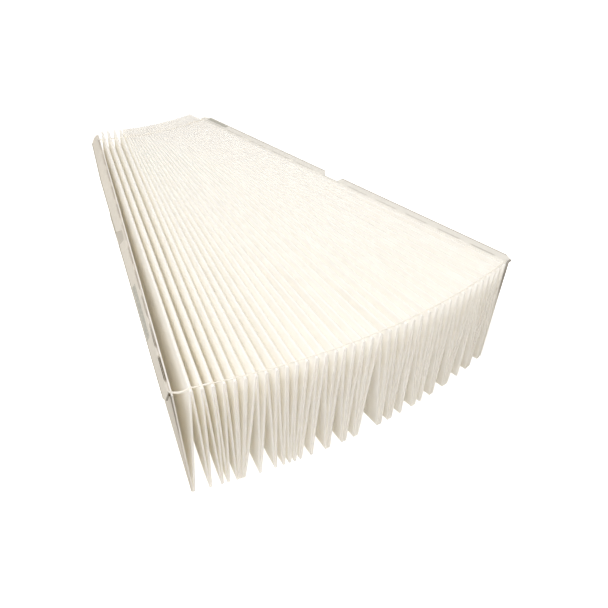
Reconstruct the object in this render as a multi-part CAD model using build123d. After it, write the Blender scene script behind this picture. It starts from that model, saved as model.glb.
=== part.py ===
"""Expandable pleated media pack for a whole-house air cleaner, stood fanned out.

One sheet of filter media is folded into deep pleats between two folded card end
strips.  A strand of hot-melt adhesive across the ridges holds their spacing at each
end.  The front end is spread wide and the rear end is nearly closed, so the ridges
lie like the ribs of a fan, and the loose valley folds have drawn into bunches.

Millimetres, +Z up, front end at -Y, origin under the middle of the bounding box.
"""
from build123d import *
from itertools import cycle
from math import asin, atan2, cos, hypot, radians, sin
import os

# The sheet of media and its folds
PLEAT_LENGTH = 508.0        # along a fold, the nominal 20 inches
PLEAT_HEIGHT = 127.0        # ridge crest above the valley folds, the nominal 5 inches
MEDIA_THICKNESS = 1.2
FOLD_RADIUS = 0.85          # of the sheet's middle, round a fold
RIDGES = 38

# The fan.  Lengths along its two end arcs are called places.
FRONT_RADIUS = 722.0        # from the fan's centre to the front end
FRONT_FIRST_GAP = 17.4      # left card to first ridge
FRONT_LAST_GAP = 7.4        # last ridge to right card
FRONT_PITCH = 9.7           # ridge to ridge, on average
FRONT_PITCH_GROWTH = 1.5    # how much wider the rightmost gap is than the leftmost
REAR_PITCH = 3.07
REAR_OPEN_GAPS = (7.9, 7.5, 8.2, 7.9, 4.6)  # the left card's side stays open
REAR_SHIFT = -3.2           # rear end, to the left of the fan's middle

# How the loose valley folds hang at the front, bunch by bunch from the left
BUNCH_FOLDS = (1, 1, 1, 1, 3, 1, 1, 1, 1, 1, 1, 1, 2, 2, 2, 2, 2, 1, 2, 1, 2, 3, 1, 3, 2)
BUNCH_LEANS = (             # to the right
    4.1, 6.9, 8.1, 4.9, -1.0, 0.4, 6.2, 5.8, 2.0, -2.0, -5.2, -3.3, 0.2,
    0.0, -5.6, 4.9, 0.0, -1.5, 2.5, -2.0, 0.8, -2.2, -1.4, -1.6, -4.0,
)
BUNCH_GAP = 0.3             # clear between two folds of a bunch

# The card end strips: a wall glued to the outermost panel, and a flap folded outward
CARD_THICKNESS = 1.0
CARD_BEND_RADIUS = 0.9      # of the card's middle, at the top fold
GLUE_LINE = 0.05            # between card and media
FLAP_WIDTH = 12.0
FLAP_STUB = 2.2             # what is left of the flap inside its notch
NOTCH_START = 236.0         # from the front end to the notch's square side
NOTCH_LENGTH = 19.0         # on to the foot of its slanted side
NOTCH_SLANT = 9.0
SQUARE_SIDE = 0.4           # length over which a square side steps in
MITRE = 9.0                 # length of the flap's cut corner
MITRE_DROP = 6.0            # width taken off there
LEFT_SETBACK = 12.0         # card's rear end short of the media's
RIGHT_SETBACK = 22.0
# How far each flap droops below level, in degrees, at its front end, its notch, the
# middle of its rear half and its rear end
LEFT_FLAP_TILTS = (72, 50, 30, 45)
RIGHT_FLAP_TILTS = (0, 0, 0, 0)

# Slits cut along the top fold so that the flap folds cleanly
SLIT_LENGTH = 34.0
SLIT_BRIDGE = 9.0
SLIT_WIDTH = 0.6

# The hot-melt strands across the ridges, half round
STRAND_RADIUS = 0.9
STRAND_INSET = 4.0          # from the end of the pleats

# What follows from them
REAR_RADIUS = FRONT_RADIUS - PLEAT_LENGTH
FOLD_OUTSIDE = FOLD_RADIUS + MEDIA_THICKNESS / 2
CARD_OUTSIDE = CARD_BEND_RADIUS + CARD_THICKNESS / 2
CARD_TO_MEDIA = (CARD_THICKNESS + MEDIA_THICKNESS) / 2 + GLUE_LINE
RIDGE_HEIGHT = PLEAT_HEIGHT - FOLD_OUTSIDE
BEND_HEIGHT = PLEAT_HEIGHT - CARD_OUTSIDE
UP = (0.0, 1.0)
FLATNESS = 1e-7             # how far off a plane four corners still count as flat


# ---- Where the folds lie -----------------------------------------------------

def front_places():
    """Places of the left card, each ridge and the right card on the front arc."""
    spaces = RIDGES - 1
    gaps = [
        FRONT_PITCH + FRONT_PITCH_GROWTH * (space / max(spaces - 1, 1) - 0.5)
        for space in range(spaces)
    ]
    return running_total([FRONT_FIRST_GAP, *gaps, FRONT_LAST_GAP])


def rear_places():
    """The same folds on the rear arc."""
    gaps = [*REAR_OPEN_GAPS, *[REAR_PITCH] * RIDGES][: RIDGES + 1]
    return [place + REAR_SHIFT for place in running_total(gaps)]


def running_total(gaps):
    """Places with the given gaps between them, centred on the fan's middle."""
    places = [-sum(gaps) / 2]
    for gap in gaps:
        places.append(places[-1] + gap)
    return places


def middles(places):
    return [(left + right) / 2 for left, right in zip(places, places[1:])]


def bunched(places):
    """Valley places at the front: each bunch closes up about its own middle."""
    even = middles(places)
    pitch = 2 * FOLD_OUTSIDE + BUNCH_GAP
    valleys = []
    for folds, lean in cycle(zip(BUNCH_FOLDS, BUNCH_LEANS)):
        bunch = even[len(valleys): len(valleys) + folds]
        middle = sum(bunch) / len(bunch) + lean
        for fold in range(len(bunch)):
            valleys.append(middle + pitch * (fold - (len(bunch) - 1) / 2))
        if len(valleys) == len(even):
            return valleys


# ---- A folded sheet, seen end on ---------------------------------------------
# Its middle line runs straight between circles and wraps round each of them, the
# valley circles on its left hand and the ridge circles on its right.  The sheet is
# scored before it is folded, so it goes round each circle in four flats.

def tangent(first, second):
    """Unit left normal of the straight run from one circle to the next."""
    (x1, z1, turn1), (x2, z2, turn2) = first, second
    span = hypot(x2 - x1, z2 - z1)
    heading = atan2(z2 - z1, x2 - x1) - asin((turn2 - turn1) / span)
    return -sin(heading), cos(heading)


def beside(circle, normal, offset):
    """Where the sheet's surface, at that offset from its middle, has that normal."""
    x, z, turn = circle
    return x + (offset - turn) * normal[0], z + (offset - turn) * normal[1]


def halfway(first, last):
    """Unit vector midway between two plane ones."""
    x, z = first[0] + last[0], first[1] + last[1]
    return x / hypot(x, z), z / hypot(x, z)


def media_circles(ridges, valleys):
    """Both card bends, which the sheet only touches, and every fold between."""
    touch = -(CARD_BEND_RADIUS + CARD_TO_MEDIA)
    circles = [(ridges[0], BEND_HEIGHT, touch)]
    for ridge, valley in zip(ridges[1:-1], valleys):
        circles.append((valley, FOLD_OUTSIDE, FOLD_RADIUS))
        circles.append((ridge, RIDGE_HEIGHT, -FOLD_RADIUS))
    circles.append((valleys[-1], FOLD_OUTSIDE, FOLD_RADIUS))
    circles.append((ridges[-1], BEND_HEIGHT, touch))
    return circles


def on_arc(radius, place, height):
    """A place and height on one end arc, in space."""
    angle = place / radius
    return Vector(radius * sin(angle), -radius * cos(angle), height)


# ---- Solids made of ruled strips ---------------------------------------------

def strip(corners):
    """The face with four corners: flat where it can be, otherwise ruled."""
    first, second, third, fourth = corners
    normal = (second - first).cross(fourth - first).normalized()
    if abs((third - first).dot(normal)) < FLATNESS:
        return Face(Wire.make_polygon(corners, close=True))
    edges = [Edge.make_line(first, second), Edge.make_line(fourth, third)]
    return Face.make_surface_from_curves(*edges)


def strips(chain, other):
    """Strips between two chains of as many points."""
    pairs = list(zip(chain, other))
    return [strip([a, b, d, c]) for (a, c), (b, d) in zip(pairs, pairs[1:])]


def sheet_solid(sections):
    """Solid of a folded sheet, ruled from section to section.

    A section is two chains of points, one on each surface of the sheet.
    """
    faces = []
    for here, there in zip(sections, sections[1:]):
        faces += strips(here[0], there[0]) + strips(here[1], there[1])
        for end in (0, -1):
            rim = [[surface[end] for surface in section] for section in (here, there)]
            faces += strips(*rim)
    for section in (sections[0], sections[-1]):
        faces += strips(*section)
    return Solid(Shell(faces))


# ---- The media ---------------------------------------------------------------

def media_section(circles, radius):
    """The pleated sheet's two surfaces where it ends on one arc of the fan."""
    normals = [tangent(a, b) for a, b in zip(circles, circles[1:])]
    surfaces = []
    for offset in (-MEDIA_THICKNESS / 2, MEDIA_THICKNESS / 2):
        chain = [beside(circles[0], normals[0], offset)]
        for fold, before, after in zip(circles[1:], normals, normals[1:]):
            turned = (before, halfway(before, UP), UP, halfway(UP, after), after)
            chain += [beside(fold, normal, offset) for normal in turned]
        chain.append(beside(circles[-1], normals[-1], offset))
        surfaces.append([on_arc(radius, *point) for point in chain])
    return surfaces


front_ridges, rear_ridges = front_places(), rear_places()
front_circles = media_circles(front_ridges, bunched(front_ridges))
rear_circles = media_circles(rear_ridges, middles(rear_ridges))
ENDS = ((front_circles, FRONT_RADIUS), (rear_circles, REAR_RADIUS))


def pleated_media():
    return sheet_solid([media_section(circles, radius) for circles, radius in ENDS])


# ---- The card end strips -----------------------------------------------------

def between(front, rear, distance):
    """The point that far from the front end on the line joining two points."""
    return front + (rear - front) * (distance / PLEAT_LENGTH)


def bend_centre(side, distance):
    """Centre of the card's top bend; side is -1 for the left card, 1 for the right."""
    end = 0 if side < 0 else -1
    points = [on_arc(radius, *circles[end][:2]) for circles, radius in ENDS]
    return between(*points, distance)


def outward(side):
    """Level direction out from the card, square to its top fold."""
    along = (bend_centre(side, PLEAT_LENGTH) - bend_centre(side, 0)).normalized()
    return along.cross(Vector(0, 0, 1)) * side


def wall_ends(side, offset, distance):
    """Foot and top of the card's wall, at an offset outside the media's middle."""
    points = []
    for circles, radius in ENDS:
        bend, valley = (circles[0], circles[1]) if side < 0 else (circles[-1], circles[-2])
        pair = (bend, valley) if side < 0 else (valley, bend)
        normal = tangent(*pair)
        points.append([
            on_arc(radius, *beside(circle, normal, -offset)) for circle in (valley, bend)
        ])
    return [between(front, rear, distance) for front, rear in zip(*points)]


def card_section(side, distance, width, tilt):
    """Inner and outer surface of wall, bend and flap, at a distance along the card."""
    centre, out, up = bend_centre(side, distance), outward(side), Vector(0, 0, 1)
    flap_normal = out * sin(radians(tilt)) + up * cos(radians(tilt))
    flap_along = out * cos(radians(tilt)) - up * sin(radians(tilt))
    straight = width - CARD_OUTSIDE
    surfaces = []
    for layer in (CARD_THICKNESS / 2, -CARD_THICKNESS / 2):
        foot, top = wall_ends(side, CARD_TO_MEDIA - layer, distance)
        radius = CARD_BEND_RADIUS + layer
        wall_normal = (top - centre).normalized()
        crown = (wall_normal + flap_normal).normalized()
        turned = (wall_normal + crown, crown, crown + flap_normal, flap_normal)
        bend = [centre + normal.normalized() * radius for normal in turned]
        surfaces.append([foot, top, *bend, bend[-1] + flap_along * straight])
    return surfaces


def slits(side, start, end):
    """Cutters for the row of slits along the top fold between two distances."""
    along = bend_centre(side, PLEAT_LENGTH) - bend_centre(side, 0)
    fold = Plane(origin=bend_centre(side, 0), x_dir=along, z_dir=Vector(0, 0, 1))
    cutter = Box(SLIT_LENGTH, SLIT_WIDTH, 4 * CARD_OUTSIDE)
    pitch = SLIT_LENGTH + SLIT_BRIDGE
    count = int((end - start - SLIT_BRIDGE) // pitch)
    first = (start + end - pitch * (count - 1)) / 2
    return [fold * Pos(first + pitch * slit, 0, 0) * cutter for slit in range(count)]


def end_card(side, length, tilts):
    """A card strip with its flap folded out and notched."""
    front, notch, middle, rear = tilts
    slant_foot = NOTCH_START + NOTCH_LENGTH
    slant_top = slant_foot + NOTCH_SLANT
    stations = [
        (0, FLAP_WIDTH - MITRE_DROP, front),
        (MITRE, FLAP_WIDTH, front),
        (NOTCH_START, FLAP_WIDTH, notch),
        (NOTCH_START + SQUARE_SIDE, FLAP_STUB, notch),
        (slant_foot, FLAP_STUB, notch),
        (slant_top, FLAP_WIDTH, notch),
        ((slant_top + length) / 2, FLAP_WIDTH, middle),
        (length - MITRE, FLAP_WIDTH, rear),
        (length, FLAP_WIDTH - MITRE_DROP, rear),
    ]
    card = sheet_solid([card_section(side, *station) for station in stations])
    return card - slits(side, 0, NOTCH_START) - slits(side, slant_top, length)


# ---- The strands -------------------------------------------------------------

def strand(distance):
    """Hot-melt strand from card to card, its flat side on the crests of the ridges."""
    radius = FRONT_RADIUS - distance
    ends = [bend_centre(side, distance) for side in (-1, 1)]
    angles = [atan2(end.X, -end.Y) for end in ends]
    places = [radius * angle for angle in (angles[0], sum(angles) / 2, angles[1])]
    path = ThreePointArc(*[on_arc(radius, place, PLEAT_HEIGHT) for place in places])
    across = Plane(origin=path @ 0, x_dir=Vector(0, 0, 1), z_dir=path % 0)
    outline = CenterArc((0, 0), STRAND_RADIUS, -90, 180)
    profile = make_face([outline, Line(outline @ 1, outline @ 0)])
    return sweep(across * profile, path)


# ---- Assembly ----------------------------------------------------------------

nodes = {
    "pleated_media": pleated_media(),
    "end_card_left": end_card(-1, PLEAT_LENGTH - LEFT_SETBACK, LEFT_FLAP_TILTS),
    "end_card_right": end_card(1, PLEAT_LENGTH - RIGHT_SETBACK, RIGHT_FLAP_TILTS),
    "front_strand": strand(STRAND_INSET),
    "rear_strand": strand(PLEAT_LENGTH - RIGHT_SETBACK - STRAND_INSET),
}

box = Compound(children=[Compound(node.solids()) for node in nodes.values()]).bounding_box()
to_origin = Pos(-box.center().X, -box.center().Y, -box.min.Z)

os.makedirs("parts", exist_ok=True)
for name, node in nodes.items():
    solids = [to_origin * solid for solid in node.solids()]
    export_step(solids[0] if len(solids) == 1 else Compound(solids), f"parts/{name}.step")
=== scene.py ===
import math
from itertools import cycle

import bpy
import numpy as np
from mathutils import Matrix, Vector


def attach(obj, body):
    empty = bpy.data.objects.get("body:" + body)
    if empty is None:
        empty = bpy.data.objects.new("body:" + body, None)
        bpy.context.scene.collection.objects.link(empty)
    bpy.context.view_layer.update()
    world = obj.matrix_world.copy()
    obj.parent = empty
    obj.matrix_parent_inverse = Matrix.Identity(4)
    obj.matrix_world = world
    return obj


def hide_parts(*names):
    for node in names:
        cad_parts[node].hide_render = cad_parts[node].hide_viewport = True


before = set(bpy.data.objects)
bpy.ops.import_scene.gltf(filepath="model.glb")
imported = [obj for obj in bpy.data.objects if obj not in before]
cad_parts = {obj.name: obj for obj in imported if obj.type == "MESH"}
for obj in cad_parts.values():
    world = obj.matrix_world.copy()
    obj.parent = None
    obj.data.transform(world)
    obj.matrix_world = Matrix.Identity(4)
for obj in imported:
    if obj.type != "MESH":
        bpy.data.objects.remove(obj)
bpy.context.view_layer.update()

# ---- The pleated sheet -------------------------------------------------------
# One sheet of nonwoven filter media, scored and folded to and fro into deep pleats.
# Two strands of glue hold its ridges at an even spacing; its valley folds hang loose
# and draw into bunches, and every panel between two folds is a little bowed.

MM = 0.001
PLEAT_LENGTH = 508.0 * MM
PLEAT_HEIGHT = 127.0 * MM
MEDIA_THICKNESS = 1.2 * MM
FOLD_RADIUS = 0.85 * MM
RIDGES = 38
FAN_CENTRE_Y = 461.993 * MM       # in the part's frame
FAN_CENTRE_X = -2.706 * MM
FRONT_RADIUS = 722.0 * MM
REAR_RADIUS = FRONT_RADIUS - PLEAT_LENGTH
FRONT_FIRST_GAP = 17.4 * MM
FRONT_LAST_GAP = 7.4 * MM
FRONT_PITCH = 9.7 * MM
FRONT_PITCH_GROWTH = 1.5 * MM
REAR_PITCH = 3.07 * MM
REAR_OPEN_GAPS = (7.9 * MM, 7.5 * MM, 8.2 * MM, 7.9 * MM, 4.6 * MM)
REAR_SHIFT = -3.2 * MM
BEND_ROOM = 1.12 * MM             # more than the pitch, between last fold and right card
CROWDED_FOLDS = 10
BUNCH_PITCH = 3.2 * MM
# The loose valley folds, bunch by bunch from the left, and each bunch's lean to the right
BUNCH_FOLDS = (1, 1, 1, 1, 3, 1, 1, 1, 1, 1, 1, 1, 2, 2, 2, 2, 2, 1, 2, 1, 2, 3, 1, 3, 2)
BUNCH_LEANS = (                   # in millimetres
    4.1, 6.9, 8.1, 4.9, -1.0, 0.4, 6.2, 5.8, 2.0, -2.0, -5.2, -3.3, 0.2,
    0.0, -5.6, 4.9, 0.0, -1.5, 2.5, -2.0, 0.8, -2.2, -1.4, -1.6, -4.0,
)
CARD_THICKNESS = 1.0 * MM
CARD_BEND_RADIUS = 0.9 * MM
GLUE_LINE = 0.05 * MM

FOLDS = 2 * RIDGES + 3            # ridges, valleys and the bend over each card
STATIONS = 48                     # along a fold
PANEL_STEPS = 5                   # across a panel, from fold to fold
FOLD_STEPS = 6                    # round a fold
PANEL_BOW = 1.1 * MM
NEIGHBOURS = 9                    # panels that bow much alike
RIDGE_WANDER = 0.45 * MM
VALLEY_WANDER = 0.9 * MM
WANDER_WAVES, BOW_WAVES = 4, 3    # along a fold
EDGE_WANDER = 0.5 * MM            # how unevenly the sheet's ends are cut
EDGE_WAVES = 40                   # along a cut end, over the whole sheet
LAST_PANEL_SHORT = 2.2 * MM       # of the right card's front end
PACKED_POWER = 1.2                # how fast the unevenness fades towards the rear
PACKED_SHARE = 0.04               # how much of it is left there
SHARP_FOLD = math.radians(60)     # what turns more than this isn't smoothed over

chance = np.random.default_rng(7)


def running_total(gaps):
    """Places with the given gaps between them, about the fan's middle."""
    return np.concatenate([[0.0], np.cumsum(gaps)]) - sum(gaps) / 2


def front_gaps():
    growth = np.linspace(-0.5, 0.5, RIDGES - 1) * FRONT_PITCH_GROWTH
    return [FRONT_FIRST_GAP, *(FRONT_PITCH + growth), FRONT_LAST_GAP]


def rear_gaps():
    """The last folds crowd together, and so leave room for the right card's bend."""
    gaps = np.array([*REAR_OPEN_GAPS, *[REAR_PITCH] * RIDGES][: RIDGES + 1])
    gaps[-1 - CROWDED_FOLDS: -1] -= BEND_ROOM / CROWDED_FOLDS
    gaps[-1] += BEND_ROOM
    return gaps.tolist()


def bunched(even):
    """Valley places at the front: each bunch closes up about its own middle."""
    valleys = []
    for folds, lean in cycle(zip(BUNCH_FOLDS, BUNCH_LEANS)):
        bunch = even[len(valleys): len(valleys) + folds]
        middle = sum(bunch) / len(bunch) + lean * MM
        for fold in range(len(bunch)):
            valleys.append(middle + BUNCH_PITCH * (fold - (len(bunch) - 1) / 2))
        if len(valleys) == len(even):
            return np.array(valleys)


front_ridges = running_total(front_gaps())
rear_ridges = running_total(rear_gaps()) + REAR_SHIFT
front_valleys = bunched((front_ridges[1:] + front_ridges[:-1]) / 2)
rear_valleys = (rear_ridges[1:] + rear_ridges[:-1]) / 2


def fold_circles(ridges, valleys):
    """Place, height and signed radius of each fold, from card bend to card bend."""
    outside = FOLD_RADIUS + MEDIA_THICKNESS / 2
    bend_height = PLEAT_HEIGHT - CARD_BEND_RADIUS - CARD_THICKNESS / 2
    touch = CARD_BEND_RADIUS + GLUE_LINE + (CARD_THICKNESS + MEDIA_THICKNESS) / 2
    circles = [(ridges[0], bend_height, -touch)]
    for ridge, valley in zip(ridges[1:-1], valleys):
        circles.append((valley, outside, FOLD_RADIUS))
        circles.append((ridge, PLEAT_HEIGHT - outside, -FOLD_RADIUS))
    circles.append((valleys[-1], outside, FOLD_RADIUS))
    circles.append((ridges[-1], bend_height, -touch))
    return circles


def middle_line(circles):
    """Points and left normals along the sheet's middle, seen end on."""
    headings = []
    for (x1, z1, turn1), (x2, z2, turn2) in zip(circles, circles[1:]):
        span = math.hypot(x2 - x1, z2 - z1)
        heading = math.atan2(z2 - z1, x2 - x1) - math.asin((turn2 - turn1) / span)
        headings.append(heading)
    points, normals = [], []
    for place, heading in enumerate(headings):
        normal = np.array([-math.sin(heading), math.cos(heading)])
        ends = [
            np.array(circle[:2]) - circle[2] * normal
            for circle in circles[place: place + 2]
        ]
        for step in range(PANEL_STEPS + 1):
            points.append(ends[0] + (ends[1] - ends[0]) * step / PANEL_STEPS)
            normals.append(normal)
        if place + 1 < len(headings):
            x, z, turn = circles[place + 1]
            change = headings[place + 1] - heading
            for step in range(1, FOLD_STEPS):
                turned = heading + change * step / FOLD_STEPS
                normal = np.array([-math.sin(turned), math.cos(turned)])
                points.append(np.array([x, z]) - turn * normal)
                normals.append(normal)
    return np.array(points), np.array(normals)


def on_arc(radius, flat):
    """Places and heights on one end arc of the fan, in the part's frame."""
    angle = flat[:, 0] / radius
    return np.stack([
        radius * np.sin(angle) + FAN_CENTRE_X,
        -radius * np.cos(angle) + FAN_CENTRE_Y,
        flat[:, 1],
    ], axis=1)


WAVE_STRETCH = 1.3                # keeps the waves from fitting the length exactly
WAVE_CALM = 1.6                   # brings most of a curve within 1


def wandering(rows, along, waves):
    """Smooth random curves from -1 to 1, one a row, at the given shares of the length."""
    curves = np.zeros((rows, len(along)))
    for wave in range(1, waves + 1):
        size = chance.normal(size=(rows, 1)) / wave
        phase = chance.uniform(0, 2 * math.pi, size=(rows, 1))
        curves += size * np.sin(wave * math.pi * along[None, :] * WAVE_STRETCH + phase)
    return np.clip(curves / WAVE_CALM, -1, 1)


def shared(curves):
    """The same curves, each averaged with its neighbours and brought back to size."""
    kernel = np.ones(NEIGHBOURS) / math.sqrt(NEIGHBOURS)
    return np.stack([np.convolve(row, kernel, "same") for row in curves.T], axis=1)


def sheet_mesh(name, top, bottom):
    """A closed sheet from two grids of points, its upper and its lower surface."""
    rows, columns = top.shape[:2]
    number = np.arange(rows * columns).reshape(rows, columns)
    quads = np.stack([
        number[:-1, :-1], number[1:, :-1], number[1:, 1:], number[:-1, 1:],
    ], axis=-1).reshape(-1, 4)
    below = quads[:, ::-1] + rows * columns
    rim = np.concatenate([
        number[:-1, -1], number[-1, :0:-1], number[:0:-1, 0], number[0, :-1],
    ])
    onward = np.roll(rim, -1)
    sides = np.stack([rim, rim + rows * columns, onward + rows * columns, onward], axis=1)
    mesh = bpy.data.meshes.new(name)
    faces = np.concatenate([quads, below, sides])
    points = np.concatenate([top.reshape(-1, 3), bottom.reshape(-1, 3)])
    mesh.from_pydata(points.tolist(), [], faces.tolist())
    mesh.validate()
    mesh.update()
    piece = bpy.data.objects.new(name, mesh)
    bpy.context.scene.collection.objects.link(piece)
    return piece


def folded_sheet():
    """The media, with the small unevenness of a soft sheet folded by machine."""
    along = np.linspace(0, 1, STATIONS)
    ends = []
    for ridges, valleys, radius in (
        (front_ridges, front_valleys, FRONT_RADIUS),
        (rear_ridges, rear_valleys, REAR_RADIUS),
    ):
        flat, normals = middle_line(fold_circles(ridges, valleys))
        pair = [
            on_arc(radius, flat + normals * MEDIA_THICKNESS / 2 * layer)
            for layer in (1, -1)
        ]
        ends.append(pair)

    # How far along its panel each point is, and which fold it follows
    period = PANEL_STEPS + FOLD_STEPS
    count = len(flat)
    index = np.arange(count)
    panel = index // period
    share = np.clip((index % period) / PANEL_STEPS, 0, 1)

    # Unevenness fades where the pleats are packed tight and beside the cards
    room = (1 - along)[None, :] ** PACKED_POWER * (1 - PACKED_SHARE) + PACKED_SHARE
    free = np.ones((FOLDS, 1))
    free[[0, 1, -3, -2, -1]] = 0
    is_valley = (np.arange(FOLDS) % 2 == 1)[:, None]
    reach = np.where(is_valley, VALLEY_WANDER, RIDGE_WANDER)
    sideways = wandering(FOLDS, along, WANDER_WAVES) * reach * room * free
    # The valley folds of one bunch hang together
    first = 0
    for bunch in BUNCH_FOLDS:
        sideways[2 * first + 1: 2 * (first + bunch): 2] = sideways[2 * first + 1]
        first += bunch
    lift = np.abs(wandering(FOLDS, along, WANDER_WAVES)) * RIDGE_WANDER / 2 * room * free
    lift = np.where(is_valley, lift, -lift)
    bow = shared(wandering(FOLDS - 1, along, BOW_WAVES)) * PANEL_BOW * room
    bow[[0, -1]] = 0

    onward, back = share[:, None], (1 - share)[:, None]
    shift = sideways[panel] * back + sideways[panel + 1] * onward
    shift += bow[panel] * (4 * onward * back)
    rise = lift[panel] * back + lift[panel + 1] * onward
    trim = np.abs(wandering(2, np.linspace(0, 1, count), EDGE_WAVES)) * EDGE_WANDER
    trim[0, panel == panel[-1]] += LAST_PANEL_SHORT

    surfaces = []
    for layer in (0, 1):
        front, rear = ends[0][layer], ends[1][layer]
        run = rear - front
        side = np.stack([run[:, 1], -run[:, 0], np.zeros(count)], axis=1)
        side /= np.linalg.norm(side, axis=1)[:, None]
        ahead = run / np.linalg.norm(run, axis=1)[:, None]
        grid = front[:, None] + run[:, None] * along[None, :, None]
        grid += side[:, None] * shift[:, :, None]
        grid[:, :, 2] += rise
        grid[:, 0] += ahead * trim[0][:, None]
        grid[:, -1] -= ahead * trim[1][:, None]
        surfaces.append(grid)
    return sheet_mesh("media_pleats", *surfaces)


def linear(hex_colour, alpha=1.0):
    """An sRGB hex colour as the linear values that Blender takes."""
    values = [int(hex_colour[place: place + 2], 16) / 255 for place in (1, 3, 5)]
    return [
        value / 12.92 if value <= 0.04045 else ((value + 0.055) / 1.055) ** 2.4
        for value in values
    ] + [alpha]


def add(tree, kind, inputs=(), **settings):
    """Adds a node with its settings; each input is a value or another node's output."""
    node = tree.nodes.new(kind)
    for name, value in settings.items():
        setattr(node, name, value)
    for name, value in dict(inputs).items():
        if isinstance(value, bpy.types.NodeSocket):
            tree.links.new(value, node.inputs[name])
        else:
            node.inputs[name].default_value = value
    return node


def new_material(name):
    material = bpy.data.materials.new(name)
    material.use_nodes = True
    material.node_tree.nodes.clear()
    return material, material.node_tree


WEB_THIN, WEB_THICK = "#FDFCFA", "#FEFEFD"
WEB_LETS_THROUGH = 0.38
WEB_CLOUD = 9.0 * MM              # a patch of thicker or thinner web
CLOUD_THIN, CLOUD_THICK = 0.3, 0.7
WEB_GRAIN = 0.7 * MM
WEB_RELIEF = 0.25 * MM


def spunbond_polyester():
    """Spunbond polyester, laid down as loose fibres and heat bonded: matt and cloudy
    white, a little furry, and warm in the folds, where light goes from wall to wall."""
    material, tree = new_material("spunbond_polyester")
    place = add(tree, "ShaderNodeTexCoord").outputs["Object"]
    clouds = add(tree, "ShaderNodeTexNoise", {
        "Vector": place, "Scale": 1 / WEB_CLOUD, "Detail": 3.0, "Roughness": 0.6,
    })
    # Single fibres are 0.02 mm thick, far too fine to show: drawn as a coarser grain
    grain = add(tree, "ShaderNodeTexNoise", {
        "Vector": place, "Scale": 1 / WEB_GRAIN, "Detail": 2.0, "Roughness": 0.7,
    })
    shade = add(tree, "ShaderNodeMapRange", {
        "Value": clouds.outputs["Fac"], "From Min": CLOUD_THIN, "From Max": CLOUD_THICK,
    })
    colour = add(tree, "ShaderNodeMix", {
        0: shade.outputs["Result"], 6: linear(WEB_THIN), 7: linear(WEB_THICK),
    }, data_type="RGBA")
    height = add(tree, "ShaderNodeMath", {
        0: clouds.outputs["Fac"], 1: grain.outputs["Fac"],
    }, operation="ADD")
    bump = add(tree, "ShaderNodeBump", {
        "Height": height.outputs[0], "Strength": 0.2, "Distance": WEB_RELIEF,
    })
    through = add(tree, "ShaderNodeBsdfTranslucent", {
        "Color": colour.outputs[2], "Normal": bump.outputs["Normal"],
    })
    cloth = add(tree, "ShaderNodeBsdfPrincipled", {
        "Base Color": colour.outputs[2],
        "Normal": bump.outputs["Normal"],
        "Roughness": 0.95,
        "Specular IOR Level": 0.2,
        "Sheen Weight": 0.15,
        "Sheen Roughness": 0.6,
    })
    web = add(tree, "ShaderNodeMixShader", {
        0: WEB_LETS_THROUGH, 1: cloth.outputs["BSDF"], 2: through.outputs["BSDF"],
    })
    add(tree, "ShaderNodeOutputMaterial", {"Surface": web.outputs["Shader"]})
    return material


media = folded_sheet()
media.data.materials.append(spunbond_polyester())
media.data.shade_smooth()
media.data.set_sharp_from_angle(angle=SHARP_FOLD)
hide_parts("pleated_media")
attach(media, "root")

# ---- The card end strips -----------------------------------------------------
# Bleached board, die cut and folded: a wall glued to the outermost panel, and a flap
# along its top that hooks on the air cleaner's rail.  The solids are kept.  The row of
# slits that lets each flap fold is bruised by the knife, more darkly with painted shade
# where a slit gapes, the front ends and the left board carry painted shade, and a plain
# tint is printed.

BEND_HEIGHT = PLEAT_HEIGHT - CARD_BEND_RADIUS - CARD_THICKNESS / 2
PULP_CLOUD = 4.0 * MM             # pulp settles in clouds as the board is laid
BOARD_RELIEF = 0.1 * MM
BOARD_LETS_THROUGH = 0.25         # a little light comes through a board this thin
FLAP_START, FLAP_SURE = 0.8 * MM, 1.4 * MM    # out from the middle of the bend

TINT = "#C9C9C0"
TINT_NEAR, TINT_FAR = 3.0 * MM, 9.0 * MM      # from the middle of the bend
TINT_SIDE, TINT_TIP = 0.5 * MM, 1.0 * MM      # how softly the tint's edges fade
INK_PATCH = 2.0 * MM
INK_THIN, INK_FULL = 0.2, 0.55

CRUSHED = "#BDB9AC"
FLAP_EDGE = 10.7 * MM             # from the middle of the bend
CRUSH_START, CRUSH_FULL = FLAP_EDGE - 1.4 * MM, FLAP_EDGE - 0.9 * MM

BRUISE_AND_PAINTED_SHADE = "#665E4F"
SLIT_PITCH = 43.0 * MM
SLIT_HALF = 17.0 * MM
SLIT_TIP = 5.0 * MM               # over which a slit closes at either end
FIRST_SLIT = 32.0 * MM            # its middle, from the front end
SECOND_ROW = 250.0 * MM           # where the notch parts one row of slits from the next
LIP_NEAR, LIP_FAR = 0.7 * MM, 1.2 * MM        # from the crown of the bend
# The first slit's gape is drawn only as painted shade on its lips
GAPE_START, GAPE_END = 40.0 * MM, 100.0 * MM  # the first slit gapes and the rest close
CLOSED_SLIT = 0.15                # how dark the lips of a closed slit are
END_SHADE, END_SHADE_EDGE = 2.6 * MM, 0.8 * MM        # of the front end: painted shade where the card's bared end stands in shadow
END_SHADE_LOW, END_SHADE_HIGH = 60.0 * MM, 115.0 * MM
END_SHADE_DARK = 0.6


def marked(tree, *edges):
    """Where a mark lies on the board, from 0 to 1.  Each of its edges is a measure, what
    that measure is where the mark starts, and what it is where the mark is full."""
    mark = 1.0
    for measure, start, full in edges:
        inside = add(tree, "ShaderNodeMapRange", {
            "Value": measure, "From Min": min(start, full), "From Max": max(start, full),
            "To Min": float(full < start), "To Max": float(full > start),
        }, interpolation_type="SMOOTHSTEP")
        mark = add(tree, "ShaderNodeMath", {
            0: mark, 1: inside.outputs["Result"],
        }, operation="MULTIPLY").outputs[0]
    return mark


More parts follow.
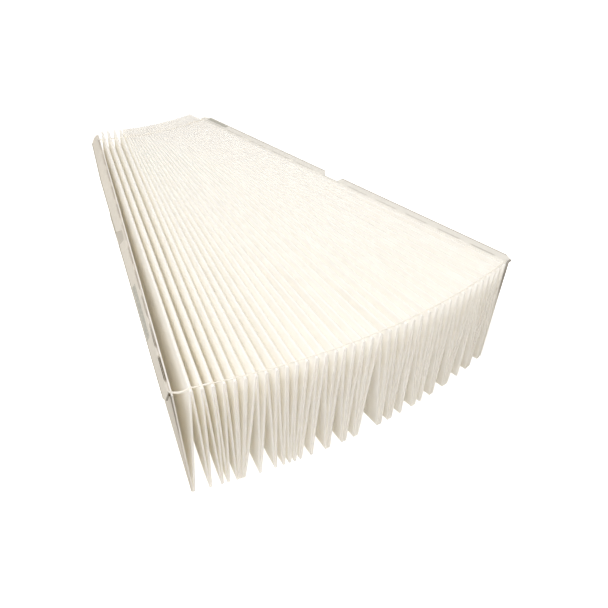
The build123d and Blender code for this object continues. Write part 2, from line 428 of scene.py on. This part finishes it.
def die_cut_board(name, front, rear, pulp, row_shift, gape_shade, tint_ends):
    """Bleached board, pressed, uncoated and die cut: an even dull white with faint
    clouds of pulp, greyer where the knife went through and crushed it.  The slits' lips
    are darkened as the knife's bruise and, where a slit gapes, as painted shade; the
    front end is darkened as painted shade."""
    material, tree = new_material(name)
    along_card = (rear - front) / (rear - front).length
    outward = (-1 if front.x < 0 else 1) * Vector((along_card.y, -along_card.x, 0))
    place = add(tree, "ShaderNodeTexCoord").outputs["Object"]

    # How far a point is along the fold, from the bend's middle and crown, and outward
    inside = add(tree, "ShaderNodeVectorMath", {0: place, 1: front}, operation="SUBTRACT")
    along = add(tree, "ShaderNodeVectorMath", {
        0: inside.outputs["Vector"], 1: along_card,
    }, operation="DOT_PRODUCT").outputs["Value"]
    run = add(tree, "ShaderNodeVectorMath", {
        0: along_card, "Scale": along,
    }, operation="SCALE")
    offset = add(tree, "ShaderNodeVectorMath", {
        0: inside.outputs["Vector"], 1: run.outputs["Vector"],
    }, operation="SUBTRACT").outputs["Vector"]
    from_bend = add(tree, "ShaderNodeVectorMath", {
        0: offset,
    }, operation="LENGTH").outputs["Value"]
    from_crown = add(tree, "ShaderNodeVectorMath", {
        0: offset, 1: (0, 0, PLEAT_HEIGHT - BEND_HEIGHT),
    }, operation="DISTANCE").outputs["Value"]
    out = add(tree, "ShaderNodeVectorMath", {
        0: offset, 1: outward,
    }, operation="DOT_PRODUCT").outputs["Value"]

    clouds = add(tree, "ShaderNodeTexNoise", {
        "Vector": place, "Scale": 1 / PULP_CLOUD, "Detail": 4.0, "Roughness": 0.65,
    })
    colour = add(tree, "ShaderNodeMix", {
        0: clouds.outputs["Fac"], 6: linear(pulp[0]), 7: linear(pulp[1]),
    }, data_type="RGBA").outputs[2]

    # The tint: a plain grey block, a little patchy where the ink ran thin
    ink = add(tree, "ShaderNodeTexNoise", {
        "Vector": place, "Scale": 1 / INK_PATCH, "Detail": 2.0, "Roughness": 0.5,
    })
    tint = marked(
        tree,
        (out, FLAP_START, FLAP_SURE),
        (ink.outputs["Fac"], INK_THIN, INK_FULL),
        (from_bend, TINT_NEAR, TINT_NEAR + TINT_SIDE),
        (from_bend, TINT_FAR, TINT_FAR - TINT_SIDE),
        (along, tint_ends[0], tint_ends[0] + TINT_TIP),
        (along, tint_ends[1], tint_ends[1] - TINT_TIP),
    )

    # The flap's cut edge, crushed by the knife
    edge = marked(
        tree, (out, FLAP_START, FLAP_SURE), (from_bend, CRUSH_START, CRUSH_FULL),
    )

    # Where a point is across its own slit, and how far that slit gapes, which sets how
    # much shade is painted on its lips
    second = add(tree, "ShaderNodeMath", {
        0: along, 1: SECOND_ROW,
    }, operation="GREATER_THAN")
    from_first = add(tree, "ShaderNodeMath", {
        0: along, 1: FIRST_SLIT,
    }, operation="SUBTRACT")
    in_row = add(tree, "ShaderNodeMath", {
        0: second.outputs[0], 1: row_shift, 2: from_first.outputs[0],
    }, operation="MULTIPLY_ADD")
    in_slit = add(tree, "ShaderNodeMath", {
        0: in_row.outputs[0], 1: SLIT_PITCH / 2, 2: -SLIT_PITCH / 2,
    }, operation="WRAP")
    from_middle = add(tree, "ShaderNodeMath", {
        0: in_slit.outputs[0],
    }, operation="ABSOLUTE")
    gape_shade_and_bruise = add(tree, "ShaderNodeMath", {
        0: marked(tree, (along, GAPE_END, GAPE_START)), 1: gape_shade, 2: CLOSED_SLIT,
    }, operation="MULTIPLY_ADD")

    # The slits' lips are darkened as the knife's bruise, and more as painted shade where
    # a slit gapes; the front end is darkened as painted shade
    lip_bruise_and_shade = add(tree, "ShaderNodeMath", {
        0: gape_shade_and_bruise.outputs[0],
        1: marked(
            tree,
            (from_middle.outputs[0], SLIT_HALF, SLIT_HALF - SLIT_TIP),
            (from_crown, LIP_FAR, LIP_NEAR),
        ),
    }, operation="MULTIPLY")
    height = add(tree, "ShaderNodeSeparateXYZ", {0: place}).outputs["Z"]
    painted_end_shade = add(tree, "ShaderNodeMath", {
        0: END_SHADE_DARK,
        1: marked(
            tree, (along, END_SHADE, END_SHADE - END_SHADE_EDGE), (height, END_SHADE_LOW, END_SHADE_HIGH),
        ),
    }, operation="MULTIPLY")
    middle = add(tree, "ShaderNodeMath", {
        0: lip_bruise_and_shade.outputs[0], 1: painted_end_shade.outputs[0],
    }, operation="MAXIMUM")

    for mark, hex_colour in (
        (tint, TINT), (edge, CRUSHED), (middle.outputs[0], BRUISE_AND_PAINTED_SHADE),
    ):
        colour = add(tree, "ShaderNodeMix", {
            0: mark, 6: colour, 7: linear(hex_colour),
        }, data_type="RGBA").outputs[2]

    bump = add(tree, "ShaderNodeBump", {
        "Height": clouds.outputs["Fac"], "Strength": 0.2, "Distance": BOARD_RELIEF,
    })
    board = add(tree, "ShaderNodeBsdfPrincipled", {
        "Base Color": colour,
        "Normal": bump.outputs["Normal"],
        "Roughness": 0.8,
        "Specular IOR Level": 0.3,
    })
    through = add(tree, "ShaderNodeBsdfTranslucent", {"Color": colour})
    thin = add(tree, "ShaderNodeMixShader", {
        0: BOARD_LETS_THROUGH, 1: board.outputs["BSDF"], 2: through.outputs["BSDF"],
    })
    add(tree, "ShaderNodeOutputMaterial", {"Surface": thin.outputs["Shader"]})
    return material


def fold_line(ridge):
    """The two ends of a card's fold, in the middle of its bend; ridge is 0 or -1."""
    return [
        Vector(on_arc(radius, np.array([[places[ridge], BEND_HEIGHT]]))[0])
        for radius, places in ((FRONT_RADIUS, front_ridges), (REAR_RADIUS, rear_ridges))
    ]


# The board's dark and pale clouds, painted darker and warmer on the left card as shade,
# how far the slits behind the notch are out of step with those in front, how far the
# first slit gapes, and the tint's two ends
PULP_WITH_PAINTED_SHADE, CLEAN = ("#E6E2D8", "#F0EDE6"), ("#F2F1EC", "#FBFAF7")
for side, ridge, pulp, row_shift, gape_shade, tint_ends in (
    ("left", 0, PULP_WITH_PAINTED_SHADE, -4.0 * MM, 0.85, (78.0 * MM, 160.0 * MM)),
    ("right", -1, CLEAN, 1.0 * MM, 0.1, (440.0 * MM, 478.0 * MM)),
):
    board = die_cut_board(
        "die_cut_board_" + side, *fold_line(ridge), pulp, row_shift, gape_shade, tint_ends,
    )
    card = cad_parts["end_card_" + side]
    card.data.materials.clear()
    card.data.materials.append(board)

# ---- The hot-melt strands ----------------------------------------------------
# Beads of hot-melt adhesive laid hot across the ridges near each end.  A bead wets
# and spreads on each crest, thins and sags between one crest and the next, and hangs
# lowest over the wide gap beside the left card.

FRONT_STRAND_PLACE = 4.0 * MM     # from the front end of the pleats
REAR_STRAND_PLACE = PLEAT_LENGTH - 26.0 * MM
CREST_WIDTH = 1.1 * MM            # half the bead's width where it wets a crest
CREST_DEPTH = 0.6 * MM
BEAD_RAISED = 0.25 * MM           # its middle, above the crests
SAG_LEAST, SAG_MOST = 0.2, 0.7    # between two ridges, in millimetres
WAIST_LEAST, WAIST_MOST = 0.35, 0.55          # half the bead's thickness there
CARD_SPAN, BRIDGED_SPAN = 0, 2    # counted from the left card
CARD_SPAN_WAIST = 0.95 * MM
BRIDGED_SAG, BRIDGED_WAIST = 0.3 * MM, 0.85 * MM
SPAN_STEPS = 8
RING_POINTS = 10
GLUE_THIN, GLUE_THICK = "#FBF8F1", "#FEFDFA"
GLUE_LETS_THROUGH = 0.4
GLUE_CLOUD = 3.0 * MM             # it cools unevenly and clouds over in patches


def hot_melt():
    """Hot-melt adhesive, extruded and set in air: milky, slightly glossy and waxy."""
    material, tree = new_material("hot_melt")
    place = add(tree, "ShaderNodeTexCoord").outputs["Object"]
    patches = add(tree, "ShaderNodeTexNoise", {
        "Vector": place, "Scale": 1 / GLUE_CLOUD, "Detail": 2.0, "Roughness": 0.5,
    })
    colour = add(tree, "ShaderNodeMix", {
        0: patches.outputs["Fac"], 6: linear(GLUE_THIN), 7: linear(GLUE_THICK),
    }, data_type="RGBA").outputs[2]
    glue = add(tree, "ShaderNodeBsdfPrincipled", {
        "Base Color": colour,
        "Roughness": 0.35,
        "Specular IOR Level": 0.4,
    })
    milky = add(tree, "ShaderNodeBsdfTranslucent", {"Color": colour})
    wax = add(tree, "ShaderNodeMixShader", {
        0: GLUE_LETS_THROUGH, 1: glue.outputs["BSDF"], 2: milky.outputs["BSDF"],
    })
    add(tree, "ShaderNodeOutputMaterial", {"Surface": wax.outputs["Shader"]})
    return material


def crests(distance):
    """Where the fold lines of cards and ridges are, that far from the front end."""
    front, rear = [
        on_arc(radius, np.stack([places, np.full(len(places), PLEAT_HEIGHT)], axis=1))
        for radius, places in ((FRONT_RADIUS, front_ridges), (REAR_RADIUS, rear_ridges))
    ]
    return front + (rear - front) * distance / PLEAT_LENGTH


def bead(name, distance, sags, waists):
    """A strand of glue from fold to fold; sags and waists are given span by span."""
    places = crests(distance)
    line, half_widths, half_depths = [places[0]], [CREST_WIDTH], [CREST_DEPTH]
    for start, end, sag, waist in zip(places, places[1:], sags, waists):
        for step in range(1, SPAN_STEPS + 1):
            share = step / SPAN_STEPS
            belly = 4 * share * (1 - share)
            line.append(start + (end - start) * share - np.array([0, 0, sag * belly]))
            pull = math.sqrt(belly)
            half_widths.append(CREST_WIDTH + (waist - CREST_WIDTH) * pull)
            half_depths.append(CREST_DEPTH + (waist - CREST_DEPTH) * pull)
    line = np.array(line) + np.array([0, 0, BEAD_RAISED])
    run = np.gradient(line, axis=0)
    side = np.stack([run[:, 1], -run[:, 0], np.zeros(len(line))], axis=1)
    side /= np.linalg.norm(side, axis=1)[:, None]
    round_it = np.linspace(0, 2 * math.pi, RING_POINTS, endpoint=False)
    widths = np.outer(half_widths, np.cos(round_it))[:, :, None]
    depths = np.outer(half_depths, np.sin(round_it))[:, :, None]
    rings = line[:, None] + side[:, None] * widths + np.array([0, 0, 1]) * depths
    number = np.arange(len(line) * RING_POINTS).reshape(len(line), RING_POINTS)
    onward = np.roll(number, -1, axis=1)
    skin = np.stack([number[:-1], number[1:], onward[1:], onward[:-1]], axis=-1)
    faces = skin.reshape(-1, 4).tolist() + [number[0].tolist(), number[-1, ::-1].tolist()]
    mesh = bpy.data.meshes.new(name)
    mesh.from_pydata(rings.reshape(-1, 3).tolist(), [], faces)
    mesh.update()
    mesh.shade_smooth()
    piece = bpy.data.objects.new(name, mesh)
    bpy.context.scene.collection.objects.link(piece)
    return piece


glue = hot_melt()
spans = len(front_ridges) - 1
for name, node, distance, card_span_sag in (
    ("front_bead", "front_strand", FRONT_STRAND_PLACE, 3.2 * MM),
    ("rear_bead", "rear_strand", REAR_STRAND_PLACE, 1.0 * MM),
):
    sags = chance.uniform(SAG_LEAST, SAG_MOST, spans) * MM
    waists = chance.uniform(WAIST_LEAST, WAIST_MOST, spans) * MM
    sags[CARD_SPAN], waists[CARD_SPAN] = card_span_sag, CARD_SPAN_WAIST
    # One gap was bridged by a thick run of glue that set before it could sag
    sags[BRIDGED_SPAN], waists[BRIDGED_SPAN] = BRIDGED_SAG, BRIDGED_WAIST
    strand = bead(name, distance, sags, waists)
    strand.data.materials.append(glue)
    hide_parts(node)
    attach(strand, "root")

# ---- The table ---------------------------------------------------------------
# A plain white laminate top, wide enough to fill the view, with the part stood on it.
# It carries the part's soft shadow, and nothing on it is fixed or moves.

TABLE_SIZE = 12.0
WHITE = linear("#FFFFFF")
LAMINATE = "#F4F4F4"
TABLE_GLOW = 0.75


def seen_directly(tree):
    """1 for the rays that show what lies behind the object, 0 for those that light it."""
    path = add(tree, "ShaderNodeLightPath")
    either = add(tree, "ShaderNodeMath", {
        0: path.outputs["Is Camera Ray"], 1: path.outputs["Is Glossy Ray"],
    }, operation="MAXIMUM")
    return add(tree, "ShaderNodeMath", {
        0: either.outputs[0], 1: path.outputs["Is Transmission Ray"],
    }, operation="MAXIMUM").outputs[0]


def white_laminate():
    """White laminate, matt; a little glow where it is seen keeps it as white as paper."""
    material, tree = new_material("white_laminate")
    matt = add(tree, "ShaderNodeBsdfDiffuse", {"Color": linear(LAMINATE)})
    glow = add(tree, "ShaderNodeEmission", {"Color": WHITE, "Strength": TABLE_GLOW})
    both = add(tree, "ShaderNodeAddShader", {0: matt.outputs[0], 1: glow.outputs[0]})
    shown = add(tree, "ShaderNodeMixShader", {
        0: seen_directly(tree), 1: matt.outputs[0], 2: both.outputs[0],
    })
    add(tree, "ShaderNodeOutputMaterial", {"Surface": shown.outputs[0]})
    return material


bpy.ops.mesh.primitive_plane_add(size=TABLE_SIZE, location=(0, 0, 0))
floor = bpy.context.object
floor.name = "table_top"
floor.data.materials.append(white_laminate())

# ---- The room and its lamp ---------------------------------------------------
# A white room whose walls give back a dim, warm light, seen as plain white behind the
# part, and one square soft box of slightly cool light, high up and to its left.

ROOM_LIGHT = 0.35
WARM_ROOM = "#FFF1DC"
LAMP_COLOUR = "#FAFBFF"
LAMP_WATTS = 22
LAMP_SIZE = 0.9
LAMP_PLACE = (-0.63, -0.33, 1.62)
LAMP_AIM = (0, 0, 0.1)

world = bpy.data.worlds.new("white_room")
bpy.context.scene.world = world
world.use_nodes = True
room_tree = world.node_tree
room_tree.nodes.clear()
dim = add(room_tree, "ShaderNodeBackground", {
    "Color": linear(WARM_ROOM), "Strength": ROOM_LIGHT,
})
bright = add(room_tree, "ShaderNodeBackground", {"Color": WHITE, "Strength": 1.0})
seen = add(room_tree, "ShaderNodeMixShader", {
    0: seen_directly(room_tree), 1: dim.outputs[0], 2: bright.outputs[0],
})
add(room_tree, "ShaderNodeOutputWorld", {"Surface": seen.outputs[0]})

lamp = bpy.data.lights.new("soft_box", "AREA")
lamp.shape = "SQUARE"
lamp.size = LAMP_SIZE
lamp.energy = LAMP_WATTS
lamp.color = linear(LAMP_COLOUR)[:3]
soft_box = bpy.data.objects.new("soft_box", lamp)
bpy.context.scene.collection.objects.link(soft_box)
soft_box.location = LAMP_PLACE
towards = Vector(LAMP_AIM) - soft_box.location
soft_box.rotation_euler = towards.to_track_quat("-Z", "Y").to_euler()

# White folds hand light on from wall to wall many times before it is gone
bpy.context.scene.cycles.diffuse_bounces = 64
bpy.context.scene.cycles.max_bounces = 96
bpy.context.scene.cycles.transmission_bounces = 64

# ---- The camera --------------------------------------------------------------
# A small camera held by hand in front of the part and to its left, above it and close,
# so that the near end looms large.  It is turned a little about its own axis.

CAMERA_PLACE = (-0.3271, -0.6033, 0.5207)
CAMERA_YAW = math.radians(35.03)      # to the right of +Y
CAMERA_PITCH = math.radians(37.889)   # below level
CAMERA_ROLL = math.radians(3.376)
CAMERA_LENS = 40.81                   # in millimetres, for the sensor's width
CAMERA_SENSOR = 36.0
CAMERA_NEAREST, CAMERA_FURTHEST = 0.01, 50.0

camera_data = bpy.data.cameras.new("camera")
camera_data.sensor_width = CAMERA_SENSOR
camera_data.lens = CAMERA_LENS
camera_data.clip_start = CAMERA_NEAREST
camera_data.clip_end = CAMERA_FURTHEST
camera = bpy.data.objects.new("camera", camera_data)
bpy.context.scene.collection.objects.link(camera)
ahead = np.array([
    math.sin(CAMERA_YAW) * math.cos(CAMERA_PITCH),
    math.cos(CAMERA_YAW) * math.cos(CAMERA_PITCH),
    -math.sin(CAMERA_PITCH),
])
level = np.array([math.cos(CAMERA_YAW), -math.sin(CAMERA_YAW), 0.0])
upright = np.cross(level, ahead)
across = level * math.cos(CAMERA_ROLL) + upright * math.sin(CAMERA_ROLL)
up = -level * math.sin(CAMERA_ROLL) + upright * math.cos(CAMERA_ROLL)
turn = np.stack([across, up, -ahead], axis=1)
camera.matrix_world = Matrix.Translation(CAMERA_PLACE) @ Matrix(turn.tolist()).to_4x4()
bpy.context.scene.camera = camera
bpy.context.scene.view_settings.view_transform = "Standard"
